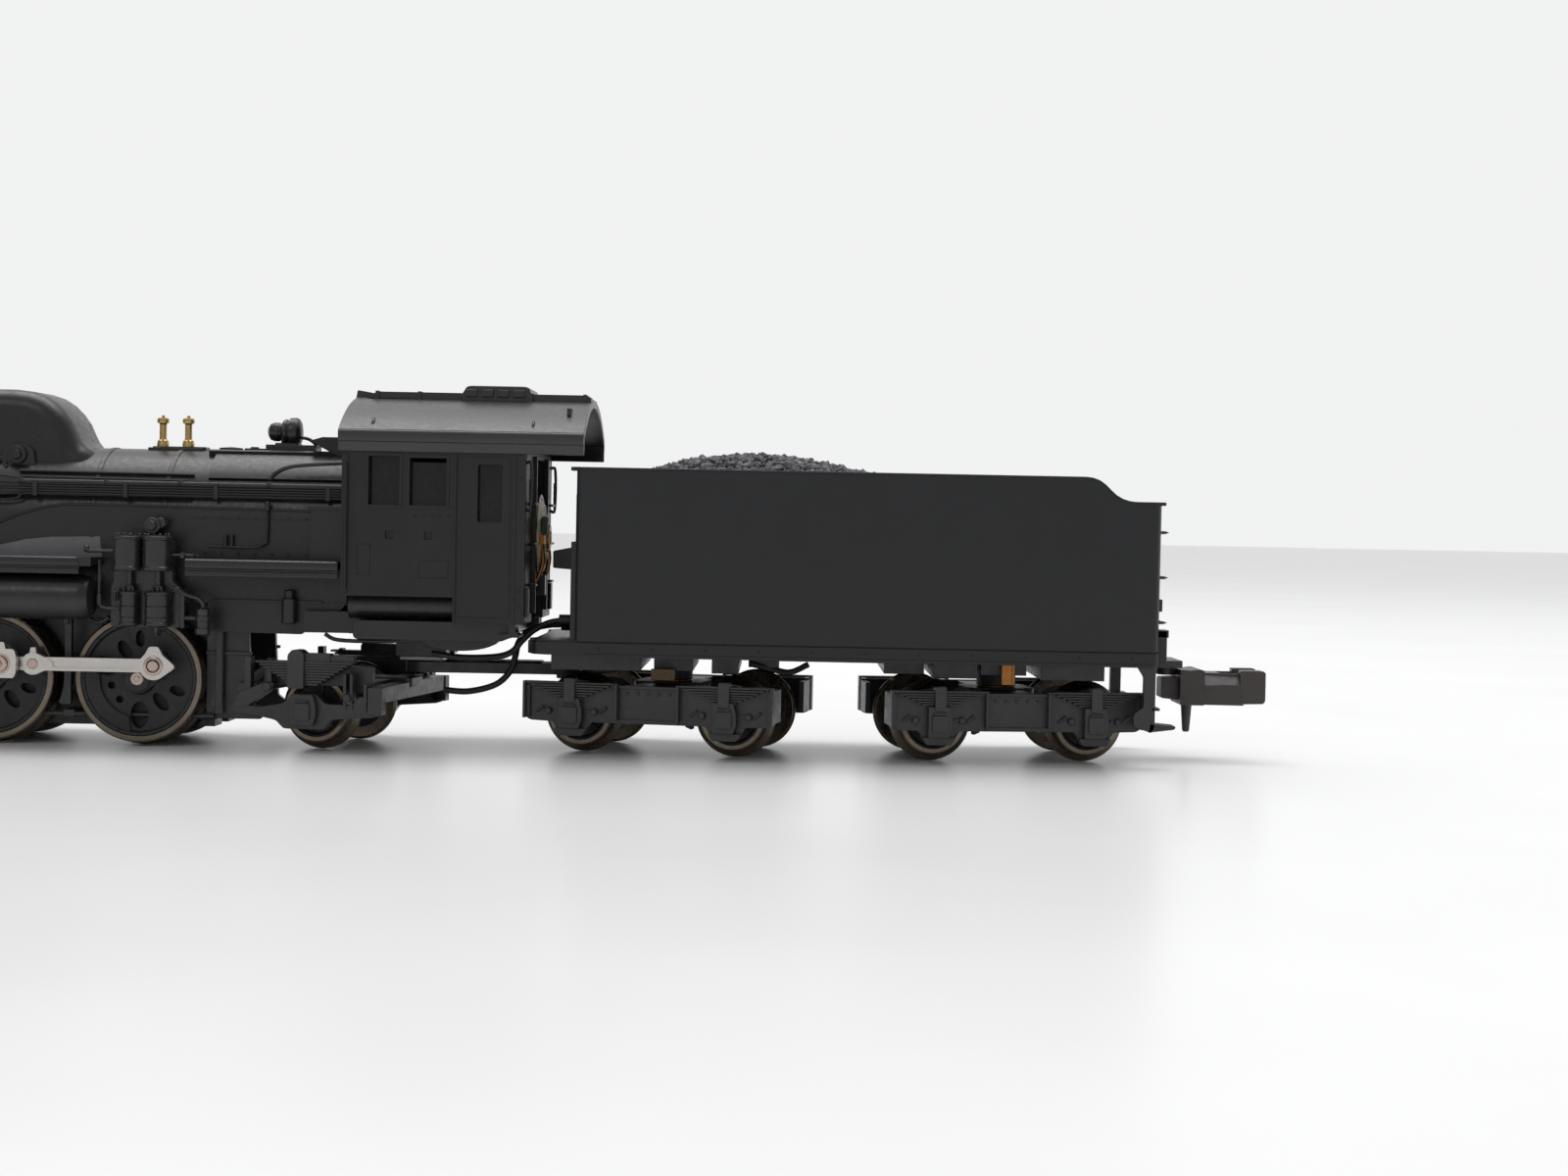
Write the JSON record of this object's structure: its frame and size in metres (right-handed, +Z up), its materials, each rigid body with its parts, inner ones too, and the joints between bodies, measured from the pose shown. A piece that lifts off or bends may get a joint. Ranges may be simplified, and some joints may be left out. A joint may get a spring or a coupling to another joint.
{
  "type": "model steam locomotive",
  "caption": "Small-scale 2-8-2 steam locomotive model with bogie tender: geared drivers, coupled rods, swivelling trucks and couplers.",
  "frame": {"origin": "on the rail plane under the wheel flanges, at the middle of the whole length and width", "axes": "+X from the chimney towards the tender's rear coupler, +Y to the locomotive's right side, +Z up"},
  "size_m": [0.1466, 0.0198, 0.0275],
  "materials": {
    "frame_black": "satin black paint on die-cast metal",
    "body_black": "satin black moulded plastic",
    "coupler_plastic": "moulded acetal",
    "rod_nickel": "bright nickel plate",
    "wheel_metal": "blackened nickel tyres, black centres",
    "turned_brass": "turned",
    "motor_steel": "plain",
    "motor_cap_cream": "moulded",
    "coal_black": "rough",
    "hose_rubber": "matt"
  },
  "bodies": {
    "locomotive": {"chassis_left": "frame_black", "chassis_right": "frame_black", "keeper_plate": "frame_black", "boiler_shell": "body_black", "smokebox_door": "body_black", "dome_cover": "body_black", "chimney": "body_black", "feedwater_heater": "body_black", "headlamp": "body_black", "safety_valves": "turned_brass", "turbo_generator": "body_black", "running_board_left": "body_black", "running_board_right": "body_black", "smoke_deflector_left": "body_black", "smoke_deflector_right": "body_black", "cylinder_left": "frame_black", "cylinder_right": "frame_black", "air_tank_left": "body_black", "air_tank_right": "body_black", "feedwater_pump": "body_black", "air_compressor": "body_black", "pipe_bundle": "body_black", "pilot_beam": "body_black", "cab_shell": "body_black", "cab_roof": "body_black", "motor_can": "motor_steel", "motor_end_cap": "motor_cap_cream", "drawbar_pin": "motor_steel"},
    "motor_shaft": {"motor_shaft": "motor_steel"},
    "worm_wheel": {"worm_wheel": "turned_brass"},
    "idler_gear": {"idler_gear": "turned_brass"},
    "driver_1": {"driver_wheelset_1": "wheel_metal"},
    "driver_2": {"driver_wheelset_2": "wheel_metal"},
    "driver_3": {"driver_wheelset_3": "wheel_metal"},
    "driver_4": {"driver_wheelset_4": "wheel_metal"},
    "side_rod_left": {"side_rod_left": "rod_nickel"},
    "main_rod_left": {"main_rod_left": "rod_nickel"},
    "crosshead_left": {"crosshead_left": "rod_nickel"},
    "side_rod_right": {"side_rod_right": "rod_nickel"},
    "main_rod_right": {"main_rod_right": "rod_nickel"},
    "crosshead_right": {"crosshead_right": "rod_nickel"},
    "leading_truck": {"leading_truck": "frame_black"},
    "leading_wheels": {"leading_wheelset": "wheel_metal"},
    "trailing_truck": {"trailing_truck": "frame_black"},
    "trailing_wheels": {"trailing_wheelset": "wheel_metal"},
    "drawbar": {"drawbar": "frame_black", "hose_upper": "hose_rubber", "hose_lower": "hose_rubber"},
    "tender": {"tender_body": "body_black", "tender_underframe": "body_black", "tender_weight": "motor_steel", "coal_load": "coal_black"},
    "tender_truck_front": {"tender_truck_front": "frame_black"},
    "tender_truck_rear": {"tender_truck_rear": "frame_black"},
    "tender_wheels_1": {"tender_wheelset_1": "wheel_metal"},
    "tender_wheels_2": {"tender_wheelset_2": "wheel_metal"},
    "tender_wheels_3": {"tender_wheelset_3": "wheel_metal"},
    "tender_wheels_4": {"tender_wheelset_4": "wheel_metal"},
    "front_coupler": {"front_coupler": "coupler_plastic"},
    "rear_coupler": {"rear_coupler": "coupler_plastic"}
  },
  "joints": [
    {"name": "driver_4_spin", "type": "hinge", "parent": "locomotive", "child": "driver_4", "pos_m": [-0.01145, 0, 0.00507], "axis": [0, 1, 0], "continuous": true},
    {"name": "driver_1_spin", "type": "hinge", "parent": "locomotive", "child": "driver_1", "pos_m": [-0.04475, 0, 0.00507], "axis": [0, 1, 0], "continuous": true},
    {"name": "driver_2_spin", "type": "hinge", "parent": "locomotive", "child": "driver_2", "pos_m": [-0.03365, 0, 0.00507], "axis": [0, 1, 0], "continuous": true},
    {"name": "driver_3_spin", "type": "hinge", "parent": "locomotive", "child": "driver_3", "pos_m": [-0.02255, 0, 0.00507], "axis": [0, 1, 0], "continuous": true},
    {"name": "idler_gear_spin", "type": "hinge", "parent": "locomotive", "child": "idler_gear", "pos_m": [-0.01095, 0, 0.00833], "axis": [0, 1, 0], "continuous": true},
    {"name": "worm_wheel_spin", "type": "hinge", "parent": "locomotive", "child": "worm_wheel", "pos_m": [-0.01145, 0, 0.0124], "axis": [0, 1, 0], "continuous": true},
    {"name": "motor_shaft_spin", "type": "hinge", "parent": "locomotive", "child": "motor_shaft", "pos_m": [-0.0038, 0, 0.0161], "axis": [1, 0, 0], "continuous": true},
    {"name": "side_rod_left_turn", "type": "hinge", "parent": "driver_4", "child": "side_rod_left", "pos_m": [-0.00999, -0.00707, 0.00611], "axis": [0, 1, 0], "continuous": true},
    {"name": "main_rod_left_turn", "type": "hinge", "parent": "driver_3", "child": "main_rod_left", "pos_m": [-0.02109, -0.0078, 0.00611], "axis": [0, 1, 0], "continuous": true},
    {"name": "crosshead_left_slide", "type": "slide", "parent": "locomotive", "child": "crosshead_left", "axis": [1, 0, 0], "range_m": [-0.00325, 0.00033]},
    {"name": "side_rod_right_turn", "type": "hinge", "parent": "driver_4", "child": "side_rod_right", "pos_m": [-0.01041, 0.00707, 0.00361], "axis": [0, 1, 0], "continuous": true},
    {"name": "main_rod_right_turn", "type": "hinge", "parent": "driver_3", "child": "main_rod_right", "pos_m": [-0.02151, 0.0078, 0.00361], "axis": [0, 1, 0], "continuous": true},
    {"name": "crosshead_right_slide", "type": "slide", "parent": "locomotive", "child": "crosshead_right", "axis": [1, 0, 0], "range_m": [-0.00283, 0.00075]},
    {"name": "leading_truck_swing", "type": "hinge", "parent": "locomotive", "child": "leading_truck", "pos_m": [-0.053, 0, 0.0043], "axis": [0, 0, 1], "range_deg": [-6, 6]},
    {"name": "leading_wheels_spin", "type": "hinge", "parent": "leading_truck", "child": "leading_wheels", "pos_m": [-0.062, 0, 0.00307], "axis": [0, 1, 0], "continuous": true},
    {"name": "trailing_truck_swing", "type": "hinge", "parent": "locomotive", "child": "trailing_truck", "pos_m": [-0.00145, 0, 0.0048], "axis": [0, 0, 1], "range_deg": [-1.5, 20.5]},
    {"name": "trailing_wheels_spin", "type": "hinge", "parent": "trailing_truck", "child": "trailing_wheels", "pos_m": [0.00269, -0.00069, 0.00307], "axis": [0.165, 0.9863, 0], "continuous": true},
    {"name": "drawbar_swing", "type": "hinge", "parent": "locomotive", "child": "drawbar", "pos_m": [0.009, 0, 0.0061], "axis": [0, 0, 1], "range_deg": [-5, 5]},
    {"name": "tender_swing", "type": "hinge", "parent": "drawbar", "child": "tender", "pos_m": [0.0196, 0, 0.0061], "axis": [0, 0, 1], "range_deg": [-7, 7]},
    {"name": "tender_truck_front_swing", "type": "hinge", "parent": "tender", "child": "tender_truck_front", "pos_m": [0.02805, 0, 0.0048], "axis": [0, 0, 1], "range_deg": [-3, 25]},
    {"name": "tender_wheels_1_spin", "type": "hinge", "parent": "tender_truck_front", "child": "tender_wheels_1", "pos_m": [0.02231, 0.00112, 0.00307], "axis": [0.1908, 0.9816, 0], "continuous": true},
    {"name": "tender_wheels_2_spin", "type": "hinge", "parent": "tender_truck_front", "child": "tender_wheels_2", "pos_m": [0.03379, -0.00112, 0.00307], "axis": [0.1908, 0.9816, 0], "continuous": true},
    {"name": "tender_truck_rear_swing", "type": "hinge", "parent": "tender", "child": "tender_truck_rear", "pos_m": [0.0529, 0, 0.0048], "axis": [0, 0, 1], "range_deg": [-20.8, 7.2]},
    {"name": "tender_wheels_3_spin", "type": "hinge", "parent": "tender_truck_rear", "child": "tender_wheels_3", "pos_m": [0.04709, -0.00069, 0.00307], "axis": [-0.1184, 0.993, 0], "continuous": true},
    {"name": "tender_wheels_4_spin", "type": "hinge", "parent": "tender_truck_rear", "child": "tender_wheels_4", "pos_m": [0.05871, 0.00069, 0.00307], "axis": [-0.1184, 0.993, 0], "continuous": true},
    {"name": "front_coupler_swing", "type": "hinge", "parent": "locomotive", "child": "front_coupler", "pos_m": [-0.066, 0, 0.0055], "axis": [0, 0, 1], "range_deg": [-10, 10]},
    {"name": "rear_coupler_swing", "type": "hinge", "parent": "tender", "child": "rear_coupler", "pos_m": [0.066, 0, 0.0055], "axis": [0, 0, 1], "range_deg": [-10, 10]}
  ],
  "couplings": [
    {"joint": "driver_1_spin", "follows": "driver_4_spin", "ratio": 1},
    {"joint": "driver_2_spin", "follows": "driver_4_spin", "ratio": 1},
    {"joint": "driver_3_spin", "follows": "driver_4_spin", "ratio": 1},
    {"joint": "idler_gear_spin", "follows": "driver_4_spin", "ratio": -0.73684},
    {"joint": "worm_wheel_spin", "follows": "driver_4_spin", "ratio": 0.63636},
    {"joint": "motor_shaft_spin", "follows": "driver_4_spin", "ratio": -14},
    {"joint": "side_rod_left_turn", "follows": "driver_4_spin", "ratio": -1},
    {"joint": "main_rod_left_turn", "follows": "driver_4_spin", "ratio": -1},
    {"joint": "side_rod_right_turn", "follows": "driver_4_spin", "ratio": -1},
    {"joint": "main_rod_right_turn", "follows": "driver_4_spin", "ratio": -1}
  ]
}
